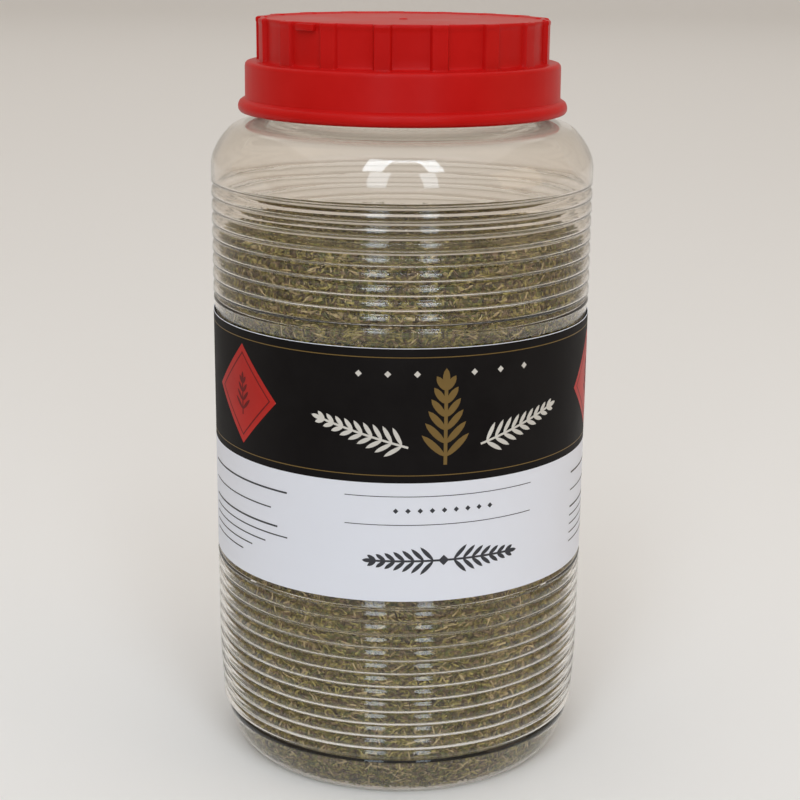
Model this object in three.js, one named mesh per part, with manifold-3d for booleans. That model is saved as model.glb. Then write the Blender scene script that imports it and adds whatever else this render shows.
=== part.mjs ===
// Spice jar: a clear ribbed plastic jar with a red screw lid and a wrap-around label,
// filled with dried, cut rosemary needles.
// Millimetres, +Z up. The origin is the middle of the foot, on the surface the jar stands on.
// The front, where the label's main panel is, faces -Y.

import * as THREE from 'three';
import { mergeVertices } from 'three/addons/utils/BufferGeometryUtils.js';
import Module from 'manifold-3d';

// Jar body
const BODY_RADIUS = 46;
const BODY_SIDES = 36;
const INNER_RADIUS = 44.2;
const HEEL_RADIUS = 44.9;
const FOOT_RADIUS = 39.8;
const FOOT_WIDTH = 3.2;
const BASE_THICKNESS = 1.4;
const BASE_PUSH_UP = 4;
const BASE_LINE_Z = 10.4;
const TAPER_TOP_Z = 25;
const WALL_TOP_Z = 145.6;

// Horizontal grooves round the body: those above the label panel and those below it
const GROOVE_DEPTH = 0.75;
const UPPER_GROOVES = { count: 9, top: 141.3, pitch: 3.28, width: 1.4 };
const LOWER_GROOVES = { count: 12, top: 48.2, pitch: 3.25, width: 1.3 };

// Label panel and label
const PANEL_RADIUS = 45.4;
const LABEL_BOTTOM_Z = 51.6;
const LABEL_TOP_Z = 111.5;
const LABEL_THICKNESS = 0.25;

// Neck with its support ring
const NECK_RADIUS = 31;
const NECK_INNER_RADIUS = 29.6;
const NECK_TOP_Z = 177.6;
const SHOULDER_TOP_Z = 158.2;
const SHOULDER_EDGE_RADIUS = 38.8;
const RING_RADIUS = 34.4;
const RING_BOTTOM_Z = 160.6;
const RING_TOP_Z = 162.6;

// Single-start right-hand screw thread. The lid comes free after THREAD_RELEASE_TURNS.
// The lid's ridge lies under the neck's, closer to it than half the lead, as when tightened.
const THREAD_LEAD = 3.6;
const THREAD_RELEASE_TURNS = 1.25;
const LID_THREAD_TURNS = 1;
const THREAD_STEPS_PER_TURN = 20;
const THREAD_ROOT_WIDTH = 1.5;
const THREAD_CREST_WIDTH = 0.9;
const THREAD_SINK = 0.5;
const THREAD_RUN_OUT = 0.08;
const NECK_THREAD_CREST = 32.1;
const LID_THREAD_CREST = 31.4;
const LID_THREAD_START_Z = 170.1;
const THREAD_BEARING_SHIFT = 0.35;

// Lid, in three tiers: grip, skirt and flange
const LID_TOP_Z = 180.8;
const LID_RIM_RADIUS = 34.9;
const LID_PANEL_RADIUS = 33.7;
const LID_INNER_RADIUS = 32.5;
const SKIRT_RADIUS = 37.5;
const SKIRT_INNER_RADIUS = 36.2;
const SKIRT_TOP_Z = 170.7;
const FLANGE_RADIUS = 39.4;
const FLANGE_TOP_Z = 161.9;
const FLANGE_BOTTOM_Z = 159;
const LID_PLATE_THICKNESS = 1.3;
const LID_TOP_RECESS = 0.4;
const LID_SIDES = 34;

// Grip bars, the tab between two of them, and the gate nub on top
const BAR_COUNT = 17;
const BAR_PHASE_DEG = -7.6;
const BAR_WIDTH = 4;
const BAR_DEPTH = 1.6;
const BAR_FACE = 34.6;
const TAB_ANGLE_DEG = -39.4;
const TAB_SIZE = { width: 5.3, depth: 1.4, height: 1.5 };
const NUB_RADIUS = 1.1;

// Liner disc under the lid's plate
const LINER_RADIUS = 31.7;
const LINER_THICKNESS = 0.9;

// Gap kept between neighbouring pieces
const GAP = 0.3;

// Dried rosemary
const FILL_LEVEL_Z = 130;
const FILL_CROWN = 1.6;
const FILL_RADIUS = 42.95;
const FILL_HEEL_RADIUS = 41.8;
const NEEDLE_RADIUS = 0.55;
const NEEDLE_LENGTHS = [4.5, 8.5];
const WALL_NEEDLES = 110;
const TOP_NEEDLES = 55;
const SEED = 20261;

const wasm = await Module();
wasm.setup();

// Closed three.js geometry to a solid for cutting and joining

function toSolid(geometry) {
  const bare = geometry.clone();
  bare.deleteAttribute('normal');
  bare.deleteAttribute('uv');
  const merged = mergeVertices(bare, 1e-4);
  const triangles = [];
  for (let i = 0; i < merged.index.count; i += 3) {
    const corners = [0, 1, 2].map((k) => merged.index.getX(i + k));
    if (new Set(corners).size === 3) triangles.push(...corners);
  }
  return new wasm.Manifold(new wasm.Mesh({
    numProp: 3,
    vertProperties: Float32Array.from(merged.attributes.position.array),
    triVerts: Uint32Array.from(triangles),
  }));
}

function toGeometry(solid) {
  const mesh = solid.getMesh();
  const geometry = new THREE.BufferGeometry();
  geometry.setAttribute('position', new THREE.BufferAttribute(mesh.vertProperties, 3));
  geometry.setIndex(new THREE.BufferAttribute(mesh.triVerts, 1));
  geometry.computeVertexNormals();
  return geometry;
}

function joined(solids) {
  return solids.reduce((all, next) => all.add(next));
}

// The outer surface of a joined solid alone: small hollows that joining sealed are filled

function filled(solid) {
  return solid.decompose().reduce((a, b) => (a.volume() > b.volume() ? a : b));
}

// Solid of revolution about Z. The profile is [radius, z] points, up the outside and down the inside.

function turned(profile, sides) {
  const points = profile.map(([radius, z]) => new THREE.Vector2(radius, z));
  const geometry = new THREE.LatheGeometry(points, sides);
  geometry.rotateX(Math.PI / 2);
  return toSolid(geometry);
}

// Box whose outer face stands at a distance from the axis, at an angle from the front (-Y),
// counted towards +X

function boxOnSide(width, depth, height, face, bottomZ, angleDeg) {
  const geometry = new THREE.BoxGeometry(width, depth, height);
  geometry.translate(0, depth / 2 - face, bottomZ + height / 2);
  geometry.rotateZ(THREE.MathUtils.degToRad(angleDeg));
  return toSolid(geometry);
}

// Thread ridge: a straight bar of trapezoid section, wound up round the axis.
// The bar is made with x as radius, y as depth below the helix and z as turns.

function threadRidge(wallRadius, crestRadius, startZ, turns) {
  const root = wallRadius - Math.sign(crestRadius - wallRadius) * THREAD_SINK;
  const section = new THREE.Shape([
    new THREE.Vector2(root, -THREAD_ROOT_WIDTH / 2),
    new THREE.Vector2(crestRadius, -THREAD_CREST_WIDTH / 2),
    new THREE.Vector2(crestRadius, THREAD_CREST_WIDTH / 2),
    new THREE.Vector2(root, THREAD_ROOT_WIDTH / 2),
  ]);
  const steps = Math.round(turns * THREAD_STEPS_PER_TURN);
  const bar = new THREE.ExtrudeGeometry(section, { depth: turns, steps, bevelEnabled: false });
  const position = bar.attributes.position;
  for (let i = 0; i < position.count; i += 1) {
    const turn = position.getZ(i);
    const runOut = Math.min(1, 0.15 + Math.min(turn, turns - turn) / THREAD_RUN_OUT);
    const atCrest = Math.abs(position.getX(i) - crestRadius) < 1e-3;
    const radius = atCrest ? wallRadius + (crestRadius - wallRadius) * runOut : root;
    const angle = turn * 2 * Math.PI;
    const z = startZ - position.getY(i) + turn * THREAD_LEAD;
    position.setXYZ(i, radius * Math.cos(angle), radius * Math.sin(angle), z);
  }
  return toSolid(bar);
}

// Outer radius of the jar's lands, which narrow towards the base

function landRadius(z) {
  const share = THREE.MathUtils.clamp((z - BASE_LINE_Z) / (TAPER_TOP_Z - BASE_LINE_Z), 0, 1);
  return HEEL_RADIUS + (BODY_RADIUS - HEEL_RADIUS) * share;
}

// Profile points of a set of grooves, from the lowest to the highest

function grooveProfile({ count, top, pitch, width }) {
  const points = [];
  for (let k = count - 1; k >= 0; k -= 1) {
    const z = top - k * pitch;
    points.push([landRadius(z), z]);
    points.push([landRadius(z) - GROOVE_DEPTH, z + width * 0.45]);
    points.push([landRadius(z + width), z + width]);
  }
  return points;
}

function jarSolid() {
  const footInner = FOOT_RADIUS - FOOT_WIDTH;
  const outside = [
    [0, BASE_PUSH_UP],
    [footInner - 7, BASE_PUSH_UP - 0.4],
    [footInner, 0],
    [FOOT_RADIUS, 0],
    [FOOT_RADIUS + 1.2, 0.7],
    [42.9, 4],
    [44.2, 8],
    [HEEL_RADIUS - 0.3, BASE_LINE_Z - 0.3],
    [HEEL_RADIUS - 0.9, BASE_LINE_Z + 0.2],
    ...grooveProfile(LOWER_GROOVES),
    [PANEL_RADIUS, LABEL_BOTTOM_Z - 0.3],
    [PANEL_RADIUS, UPPER_GROOVES.top - (UPPER_GROOVES.count - 1) * UPPER_GROOVES.pitch - 1],
    ...grooveProfile(UPPER_GROOVES),
    [BODY_RADIUS, WALL_TOP_Z],
    [45.5, 149.1],
    [43.9, 152.2],
    [41.3, 155.2],
    [SHOULDER_EDGE_RADIUS, 156.5],
    [NECK_RADIUS, SHOULDER_TOP_Z],
    [NECK_RADIUS, RING_BOTTOM_Z],
    [RING_RADIUS, RING_BOTTOM_Z + 0.4],
    [RING_RADIUS, RING_TOP_Z - 0.4],
    [NECK_RADIUS, RING_TOP_Z],
    [NECK_RADIUS, NECK_TOP_Z],
  ];
  const inside = [
    [NECK_INNER_RADIUS, NECK_TOP_Z],
    [NECK_INNER_RADIUS, SHOULDER_TOP_Z - BASE_THICKNESS],
    [SHOULDER_EDGE_RADIUS - 1, 155.3],
    [42.2, 152.2],
    [INNER_RADIUS, WALL_TOP_Z + 1.4],
    [INNER_RADIUS, TAPER_TOP_Z],
    [43.1, BASE_LINE_Z],
    [41.5, 4.6],
    [FOOT_RADIUS - 0.6, BASE_THICKNESS],
    [footInner + 0.6, BASE_THICKNESS],
    [footInner - 6.4, BASE_PUSH_UP + 1],
    [0, BASE_PUSH_UP + BASE_THICKNESS],
  ];
  const threadStart = LID_THREAD_START_Z + THREAD_LEAD / 2 - THREAD_BEARING_SHIFT;
  return joined([
    turned([...outside, ...inside], BODY_SIDES),
    threadRidge(NECK_RADIUS, NECK_THREAD_CREST, threadStart, THREAD_RELEASE_TURNS),
  ]);
}

function labelSolid() {
  const inner = BODY_RADIUS - LABEL_THICKNESS;
  return turned([
    [inner, LABEL_BOTTOM_Z],
    [BODY_RADIUS, LABEL_BOTTOM_Z],
    [BODY_RADIUS, LABEL_TOP_Z],
    [inner, LABEL_TOP_Z],
    [inner, LABEL_BOTTOM_Z],
  ], BODY_SIDES);
}

// Cap without its grips: outside from the bottom edge up, then the plate, then the inside down

function lidShell() {
  const plateTop = LID_TOP_Z - LID_TOP_RECESS;
  const plateBottom = plateTop - LID_PLATE_THICKNESS;
  return turned([
    [0, plateBottom],
    [LID_INNER_RADIUS, plateBottom],
    [LID_INNER_RADIUS, SKIRT_TOP_Z - 1.5],
    [SKIRT_INNER_RADIUS, SKIRT_TOP_Z - 1.9],
    [SKIRT_INNER_RADIUS, FLANGE_TOP_Z - 1.2],
    [FLANGE_RADIUS - 2.6, FLANGE_BOTTOM_Z],
    [FLANGE_RADIUS - 0.5, FLANGE_BOTTOM_Z],
    [FLANGE_RADIUS, FLANGE_BOTTOM_Z + 0.7],
    [FLANGE_RADIUS, FLANGE_TOP_Z - 0.7],
    [SKIRT_RADIUS + 1.2, FLANGE_TOP_Z],
    [SKIRT_RADIUS + 0.1, FLANGE_TOP_Z + 0.6],
    [SKIRT_RADIUS, SKIRT_TOP_Z - 0.8],
    [SKIRT_RADIUS - 0.9, SKIRT_TOP_Z],
    [LID_RIM_RADIUS - 0.1, SKIRT_TOP_Z + 0.2],
    [LID_PANEL_RADIUS, SKIRT_TOP_Z + 1],
    [LID_PANEL_RADIUS, LID_TOP_Z - 1.5],
    [LID_RIM_RADIUS, LID_TOP_Z - 1.1],
    [LID_RIM_RADIUS, LID_TOP_Z - 0.3],
    [LID_RIM_RADIUS - 0.4, LID_TOP_Z],
    [LID_RIM_RADIUS - 1, LID_TOP_Z],
    [LID_RIM_RADIUS - 1.4, plateTop],
    [0, plateTop],
  ], LID_SIDES);
}

function gripBars() {
  const bottom = SKIRT_TOP_Z;
  const height = LID_TOP_Z - 0.6 - bottom;
  const bars = [];
  for (let k = 0; k < BAR_COUNT; k += 1) {
    const angle = BAR_PHASE_DEG + (k * 360) / BAR_COUNT;
    bars.push(boxOnSide(BAR_WIDTH, BAR_DEPTH, height, BAR_FACE, bottom, angle));
  }
  return bars;
}

function lidTab() {
  const { width, depth, height } = TAB_SIZE;
  const bottom = LID_TOP_Z - 0.6 - height;
  return boxOnSide(width, depth, height, LID_RIM_RADIUS - 0.3, bottom, TAB_ANGLE_DEG);
}

function gateNub() {
  const plateTop = LID_TOP_Z - LID_TOP_RECESS;
  return turned([
    [0, plateTop - 0.4],
    [NUB_RADIUS, plateTop - 0.4],
    [NUB_RADIUS, plateTop + 0.2],
    [NUB_RADIUS - 0.3, plateTop + 0.35],
    [0, plateTop + 0.35],
  ], 10);
}

function lidSolid() {
  const thread = threadRidge(LID_INNER_RADIUS, LID_THREAD_CREST, LID_THREAD_START_Z, LID_THREAD_TURNS);
  return joined([lidShell(), ...gripBars(), lidTab(), gateNub(), thread]);
}

function linerSolid() {
  const bottom = NECK_TOP_Z + GAP;
  const top = bottom + LINER_THICKNESS;
  return turned([
    [0, bottom],
    [LINER_RADIUS, bottom],
    [LINER_RADIUS, top],
    [0, top],
  ], BODY_SIDES);
}

// Repeatable random numbers from 0 to 1

function seededRandom(seed) {
  let state = seed;
  return () => {
    state = (state * 1664525 + 1013904223) % 4294967296;
    return state / 4294967296;
  };
}

// One dried needle: a slender three-sided bar, centred on its own middle, along X

function needleGeometry(length) {
  const section = new THREE.Shape();
  for (let k = 0; k < 3; k += 1) {
    const angle = (k * 2 * Math.PI) / 3;
    const x = NEEDLE_RADIUS * Math.cos(angle);
    const y = NEEDLE_RADIUS * Math.sin(angle);
    if (k === 0) section.moveTo(x, y);
    else section.lineTo(x, y);
  }
  section.closePath();
  const bar = new THREE.ExtrudeGeometry(section, { depth: length, steps: 1, bevelEnabled: false });
  bar.translate(0, 0, -length / 2);
  bar.rotateY(Math.PI / 2);
  return bar;
}

// How far the fill's wall stands from the axis at a height: less towards the heel

function fillRadius(z) {
  const share = THREE.MathUtils.clamp((z - BASE_LINE_Z) / (TAPER_TOP_Z - BASE_LINE_Z), 0, 1);
  return FILL_HEEL_RADIUS + (FILL_RADIUS - FILL_HEEL_RADIUS) * share;
}

function fillTop(radius) {
  return FILL_LEVEL_Z + FILL_CROWN * (1 - (radius / FILL_RADIUS) ** 2);
}

function fillCore() {
  const footInner = FOOT_RADIUS - FOOT_WIDTH;
  return turned([
    [0, BASE_PUSH_UP + BASE_THICKNESS + GAP],
    [footInner - 6.2, BASE_PUSH_UP + 1.2 + GAP],
    [footInner + 0.8, BASE_THICKNESS + GAP + 0.1],
    [FOOT_RADIUS - 1, BASE_THICKNESS + GAP + 0.1],
    [40.4, 4.9],
    [FILL_HEEL_RADIUS, BASE_LINE_Z],
    [FILL_RADIUS, TAPER_TOP_Z],
    [FILL_RADIUS, FILL_LEVEL_Z],
    [FILL_RADIUS * 0.6, fillTop(FILL_RADIUS * 0.6)],
    [0, FILL_LEVEL_Z + FILL_CROWN],
  ], BODY_SIDES);
}

// Needles lying against the jar's wall, at every slant, above and below the label's height

function wallNeedles(random) {
  const bands = [[BASE_LINE_Z + 2, LABEL_BOTTOM_Z - 2], [LABEL_TOP_Z + 2, FILL_LEVEL_Z - 1]];
  const heights = bands.map(([low, high]) => high - low);
  const total = heights[0] + heights[1];
  const needles = [];
  for (let k = 0; k < WALL_NEEDLES; k += 1) {
    const along = (k * 0.618034) % 1 * total;
    const z = along < heights[0] ? bands[0][0] + along : bands[1][0] + along - heights[0];
    const turnAngle = (k / WALL_NEEDLES) * 2 * Math.PI * 13 + random() * 0.2;
    const length = THREE.MathUtils.lerp(...NEEDLE_LENGTHS, random());
    const geometry = needleGeometry(length);
    geometry.rotateY((random() - 0.5) * 2.2);
    geometry.translate(0, -fillRadius(z), z);
    geometry.rotateZ(turnAngle);
    needles.push(toSolid(geometry));
  }
  return needles;
}

// Needles scattered on the fill's top, each tipped a little

function topNeedles(random) {
  const needles = [];
  for (let k = 0; k < TOP_NEEDLES; k += 1) {
    const radius = (FILL_RADIUS - 3.5) * Math.sqrt((k + 0.5) / TOP_NEEDLES);
    const spin = k * 2.39996;
    const length = THREE.MathUtils.lerp(...NEEDLE_LENGTHS, random());
    const geometry = needleGeometry(length);
    geometry.rotateY((random() - 0.5) * 0.7);
    geometry.rotateZ(random() * Math.PI);
    geometry.translate(radius * Math.cos(spin), radius * Math.sin(spin), fillTop(radius) + 0.1);
    needles.push(toSolid(geometry));
  }
  return needles;
}

function fillSolid() {
  const random = seededRandom(SEED);
  return filled(joined([fillCore(), ...wallNeedles(random), ...topNeedles(random)]));
}

// The whole object

function addPiece(group, name, solid, look) {
  const mesh = new THREE.Mesh(toGeometry(solid), new THREE.MeshStandardMaterial(look));
  mesh.name = name;
  group.add(mesh);
}

const jarGroup = new THREE.Group();
addPiece(jarGroup, 'jar', jarSolid(), {
  color: 0xe6dccf, roughness: 0.08, metalness: 0, transparent: true, opacity: 0.35,
});
addPiece(jarGroup, 'label', labelSolid(), { color: 0x2b2a2c, roughness: 0.6, metalness: 0 });
addPiece(jarGroup, 'rosemary_fill', fillSolid(), { color: 0x77703f, roughness: 0.9, metalness: 0 });

const lidGroup = new THREE.Group();
addPiece(lidGroup, 'liner', linerSolid(), { color: 0xf1efe9, roughness: 0.7, metalness: 0 });
addPiece(lidGroup, 'lid', lidSolid(), { color: 0xbe140f, roughness: 0.35, metalness: 0 });

const model = new THREE.Group();
model.add(jarGroup);
model.add(lidGroup);

export default model;
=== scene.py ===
import math
import random

import bmesh
import bpy
from bpy.props import FloatProperty, FloatVectorProperty, IntProperty, PointerProperty
from mathutils import Matrix, Vector, noise


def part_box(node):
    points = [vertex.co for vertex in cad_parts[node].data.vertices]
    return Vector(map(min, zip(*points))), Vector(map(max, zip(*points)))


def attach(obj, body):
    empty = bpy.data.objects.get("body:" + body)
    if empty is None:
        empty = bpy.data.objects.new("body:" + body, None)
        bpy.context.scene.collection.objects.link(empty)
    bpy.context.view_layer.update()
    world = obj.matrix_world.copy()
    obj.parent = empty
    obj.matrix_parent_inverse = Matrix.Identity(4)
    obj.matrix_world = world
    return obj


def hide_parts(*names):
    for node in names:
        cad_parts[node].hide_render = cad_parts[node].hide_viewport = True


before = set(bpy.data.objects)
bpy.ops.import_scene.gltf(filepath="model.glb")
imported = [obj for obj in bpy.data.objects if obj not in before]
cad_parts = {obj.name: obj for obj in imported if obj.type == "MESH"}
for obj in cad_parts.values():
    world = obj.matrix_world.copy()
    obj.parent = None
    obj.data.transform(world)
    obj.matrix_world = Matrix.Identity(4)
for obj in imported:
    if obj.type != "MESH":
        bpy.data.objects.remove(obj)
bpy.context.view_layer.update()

# Clear ribbed spice jar with a red screw lid, a wrap-around label and a fill of dried rosemary.
# Metres, +Z up, the front faces -Y, as in the frame.

bl_info = {
    "name": "Spice jar",
    "version": (1, 0, 0),
    "blender": (4, 5, 0),
    "location": "View3D > Sidebar > Spice jar",
    "description": "Builds a clear ribbed jar of dried rosemary with a screw lid and a label",
    "category": "Object",
}

MM = 0.001
JAR_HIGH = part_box("jar")[1]
LABEL_LOW, LABEL_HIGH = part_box("label")
LID_LOW, LID_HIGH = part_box("lid")
LINER_LOW, LINER_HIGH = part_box("liner")


def length(label, description, metres):
    """A size that a user can change, in metres."""
    return FloatProperty(name=label, description=description, default=metres, unit="LENGTH", precision=5)


def angle_from(label, description, degrees):
    """An angle that a user can change, given in degrees."""
    return FloatProperty(name=label, description=description, default=math.radians(degrees),
                         subtype="ANGLE")


def colour(label, description, rgb):
    """A colour that a user can change, as linear red, green and blue."""
    return FloatVectorProperty(name=label, description=description, default=rgb, subtype="COLOR",
                               size=3, min=0, max=1)


class JarSettings(bpy.types.PropertyGroup):
    """Sizes and colour of the clear jar"""
    radius: length("Radius", "Outer radius of the body", JAR_HIGH[0])
    wall: length("Wall", "Thickness of the moulded wall", 0.85 * MM)
    upper_crown: length("Upper crown", "How far the lands above the label are rounded", 0.42 * MM)
    upper_depth: length("Upper depth", "Depth of each groove above the label", 0.42 * MM)
    upper_width: length("Upper width", "Width of each groove above the label", 2.0 * MM)
    lower_crown: length("Lower crown", "How far the lands below the label are rounded", 0.34 * MM)
    lower_depth: length("Lower depth", "Depth of each groove below the label", 0.22 * MM)
    lower_width: length("Lower width", "Width of each groove below the label", 1.6 * MM)
    deepening: FloatProperty(name="Deepening", description="How much deeper the lowest groove is",
                             default=0.6, min=0, max=1)
    crest: FloatProperty(name="Crest", description="Place of a land's crest below the groove above it",
                         default=0.67, min=0.2, max=0.8)
    inside_share: FloatProperty(name="Inside share", description="Depth of the grooves on the inside",
                                default=0.95, min=0, max=1)
    upper_top: length("Upper top", "Height of the highest groove above the label", 141.95 * MM)
    upper_pitch: length("Upper pitch", "Distance between grooves above the label", 3.28 * MM)
    upper_count: IntProperty(name="Upper grooves", description="Grooves above the label", default=9, min=1)
    lower_top: length("Lower top", "Height of the highest groove below the label", 48.75 * MM)
    lower_pitch: length("Lower pitch", "Distance between grooves below the label", 3.25 * MM)
    lower_count: IntProperty(name="Lower grooves", description="Grooves below the label", default=12, min=1)
    neck_radius: length("Neck", "Outer radius of the neck", 31 * MM)
    # The beige tint stands in for a warm room reflected in the wall: a painted reflection, not the
    # plastic's own colour.
    tint: colour("Tint", "Colour of the clear plastic", (0.958, 0.925, 0.880))


class LidSettings(bpy.types.PropertyGroup):
    """Sizes and colour of the screw lid"""
    rim: length("Rim", "Radius of the grip tier", 34.9 * MM)
    panel: length("Panel", "Radius between the grip bars", 33.7 * MM)
    skirt: length("Skirt", "Radius of the middle tier", 37.5 * MM)
    flange: length("Flange", "Radius of the rounded flange", LID_HIGH[0])
    bars: IntProperty(name="Bars", description="Grip bars round the lid", default=17, min=3)
    phase: angle_from("Phase", "Angle of the first bar from the front", -7.6)
    red: colour("Red", "Colour of the lid's plastic", (0.50, 0.0050, 0.0042))


class LabelSettings(bpy.types.PropertyGroup):
    """Sizes and inks of the label"""
    radius: length("Radius", "Outer radius of the wrapped label", LABEL_HIGH[0])
    thickness: length("Thickness", "Thickness of the paper", 0.12 * MM)
    bottom: length("Bottom", "Height of the label's lower edge", LABEL_LOW[2])
    top: length("Top", "Height of the label's upper edge", LABEL_HIGH[2])
    band: length("Band", "Height where the dark band meets the pale one", 80.2 * MM)
    turn: angle_from("Turn", "Angle of the print's middle from the front", 13)
    dark: colour("Dark band", "Colour of the upper band", (0.0070, 0.0062, 0.0066))
    pale: colour("Pale band", "Colour of the lower band", (0.800, 0.840, 0.930))
    gold: colour("Gold", "Colour of the gold ink", (0.23, 0.155, 0.055))
    badge: colour("Badge", "Colour of the badges", (0.50, 0.022, 0.016))


class RosemarySettings(bpy.types.PropertyGroup):
    """Level and amount of the dried rosemary"""
    level: length("Level", "Height of the fill at the jar's wall", 129.8 * MM)
    seed: IntProperty(name="Seed", description="Seed of every random draw in the fill", default=7)
    pieces: IntProperty(name="Pieces", description="Loose fragments in all", default=80000, min=10)


class StageSettings(bpy.types.PropertyGroup):
    """Floor, lights and camera"""
    distance: length("Distance", "Camera's distance in front of the jar's axis", 407.9 * MM)
    height: length("Height", "Camera's height above the floor", 199.2 * MM)
    pitch: angle_from("Pitch", "How far the camera looks down", 15.363)
    roll: angle_from("Roll", "Turn of the camera about its own axis", 0.506)
    lens: FloatProperty(name="Lens", description="Focal length for a 36 mm sensor", default=75.9,
                        unit="CAMERA")


SETTINGS = [
    (JarSettings, "spice_jar_body"),
    (LidSettings, "spice_jar_lid"),
    (LabelSettings, "spice_jar_label"),
    (RosemarySettings, "spice_jar_rosemary"),
    (StageSettings, "spice_jar_stage"),
]


# Mesh helpers

def finished(bm, name, body, material, replaced=(), smooth=35):
    """Turns a bmesh into a named piece that rides on a body and takes a finish."""
    mesh = bpy.data.meshes.new(name)
    bm.to_mesh(mesh)
    bm.free()
    mesh.materials.append(material)
    mesh.shade_smooth()
    mesh.set_sharp_from_angle(angle=math.radians(smooth))
    piece = bpy.data.objects.new(name, mesh)
    bpy.context.scene.collection.objects.link(piece)
    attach(piece, body)
    if replaced:
        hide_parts(*replaced)
    return piece


def spun(profile, steps):
    """A solid of revolution about Z, from (radius, height) points in millimetres, axis to axis."""
    bm = bmesh.new()
    verts = [bm.verts.new((radius * MM, 0, z * MM)) for radius, z in profile]
    edges = [bm.edges.new(pair) for pair in zip(verts, verts[1:])]
    bmesh.ops.spin(bm, geom=verts + edges, cent=(0, 0, 0), axis=(0, 0, 1), angle=math.tau,
                   steps=steps, use_merge=True)
    bmesh.ops.remove_doubles(bm, verts=bm.verts, dist=1e-6)
    bmesh.ops.recalc_face_normals(bm, faces=bm.faces)
    return bm


# The screw threads in millimetres, each as its crest's radius, its start's height and its turns.
THREAD_LEAD = 3.6
NECK_THREAD = (32.1, 171.55, 1.25)
LID_THREAD = (31.4, 170.1, 1.0)


def add_screw_ridge(bm, wall, crest, start, turns):
    """Adds a thread ridge of rounded trapezoid section to bm, wound up round Z. Millimetres."""
    steps = round(turns * 64)
    sink = 0.3 if wall < crest else -0.3
    section = [(wall - sink, -0.75), (wall + (crest - wall) * 0.75, -0.5), (crest, -0.3),
               (crest, 0.3), (wall + (crest - wall) * 0.75, 0.5), (wall - sink, 0.75)]
    verts = [bm.verts.new((radius * MM, 0, (start + z) * MM)) for radius, z in section]
    face = bm.faces.new(verts)
    before = set(bm.verts) - set(verts)
    bmesh.ops.spin(bm, geom=[face], cent=(0, 0, 0), axis=(0, 0, 1), angle=math.tau * turns,
                   steps=steps, dvec=(0, 0, turns * THREAD_LEAD / steps * MM))
    ridge = [v for v in bm.verts if v not in before]
    for v in ridge:
        radius = v.co.xy.length / MM
        turn = (v.co.z / MM - start) / THREAD_LEAD
        height = min(1, 0.12 + max(0, min(turn, turns - turn)) / 0.09)
        if (radius - wall) * (crest - wall) > 0:
            v.co.xy *= (wall + (radius - wall) * height) / radius
    bmesh.ops.recalc_face_normals(bm, faces=list({f for v in ridge for f in v.link_faces}))


def between(x, low, high):
    """0 below low, 1 above high, and smooth between them."""
    share = min(1, max(0, (x - low) / (high - low)))
    return share * share * (3 - 2 * share)


# Material helpers

def node(tree, kind, inputs=None, **values):
    """A new node with its properties and socket values set. A socket given as a value is linked."""
    made = tree.nodes.new(kind)
    for key, value in values.items():
        setattr(made, key, value)
    for key, value in (inputs or {}).items():
        if isinstance(value, bpy.types.NodeSocket):
            tree.links.new(value, made.inputs[key])
        else:
            made.inputs[key].default_value = value
    return made


def new_material(name, **values):
    """A material whose Principled BSDF has these socket values, with spaces written as _."""
    material = bpy.data.materials.new(name)
    material.use_nodes = True
    shader = material.node_tree.nodes["Principled BSDF"]
    for key, value in values.items():
        shader.inputs[key.replace("_", " ")].default_value = value
    return material, material.node_tree, shader


def new_group(name, inputs, outputs):
    """An empty shader node group with named sockets, and its input and output nodes."""
    group = bpy.data.node_groups.new(name, "ShaderNodeTree")
    for label, kind, default in inputs:
        socket = group.interface.new_socket(label, in_out="INPUT", socket_type=kind)
        socket.default_value = default
    for label, kind in outputs:
        group.interface.new_socket(label, in_out="OUTPUT", socket_type=kind)
    return group, node(group, "NodeGroupInput"), node(group, "NodeGroupOutput")


def surface_group():
    """Node group: the small unevenness of a made surface, as a roughness, a height and a mask."""
    if "made_surface" in bpy.data.node_groups:
        return bpy.data.node_groups["made_surface"]
    group, given, result = new_group(
        "made_surface",
        [("Scale", "NodeSocketFloat", 400.0), ("Low", "NodeSocketFloat", 0.3),
         ("High", "NodeSocketFloat", 0.5), ("Stretch", "NodeSocketVector", (1.0, 1.0, 1.0))],
        [("Roughness", "NodeSocketFloat"), ("Height", "NodeSocketFloat"), ("Mask", "NodeSocketFloat")])
    place = node(group, "ShaderNodeTexCoord").outputs["Object"]
    stretched = node(group, "ShaderNodeVectorMath", {0: place, 1: given.outputs["Stretch"]},
                     operation="MULTIPLY").outputs[0]
    broad = node(group, "ShaderNodeTexNoise", {"Vector": stretched, "Scale": 38.0, "Detail": 5.0,
                                               "Roughness": 0.6}).outputs["Fac"]
    fine = node(group, "ShaderNodeTexNoise", {"Vector": stretched, "Scale": given.outputs["Scale"],
                                              "Detail": 3.0}).outputs["Fac"]
    mask = node(group, "ShaderNodeMapRange", {"Value": broad, "From Min": 0.35, "From Max": 0.7}).outputs[0]
    rough = node(group, "ShaderNodeMapRange", {"Value": mask, "To Min": given.outputs["Low"],
                                               "To Max": given.outputs["High"]}).outputs[0]
    group.links.new(rough, result.inputs["Roughness"])
    group.links.new(fine, result.inputs["Height"])
    group.links.new(mask, result.inputs["Mask"])
    return group


def give_surface(tree, shader, scale, low, high, strength, distance, stretch=(1, 1, 1)):
    """Drives a shader's roughness and bump from the surface group, and returns the group's node."""
    surface = node(tree, "ShaderNodeGroup", node_tree=surface_group())
    surface.inputs["Scale"].default_value = scale
    surface.inputs["Low"].default_value = low
    surface.inputs["High"].default_value = high
    surface.inputs["Stretch"].default_value = stretch
    bump = node(tree, "ShaderNodeBump", {"Height": surface.outputs["Height"], "Strength": strength,
                                         "Distance": distance})
    tree.links.new(surface.outputs["Roughness"], shader.inputs["Roughness"])
    tree.links.new(bump.outputs["Normal"], shader.inputs["Normal"])
    return surface


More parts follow.
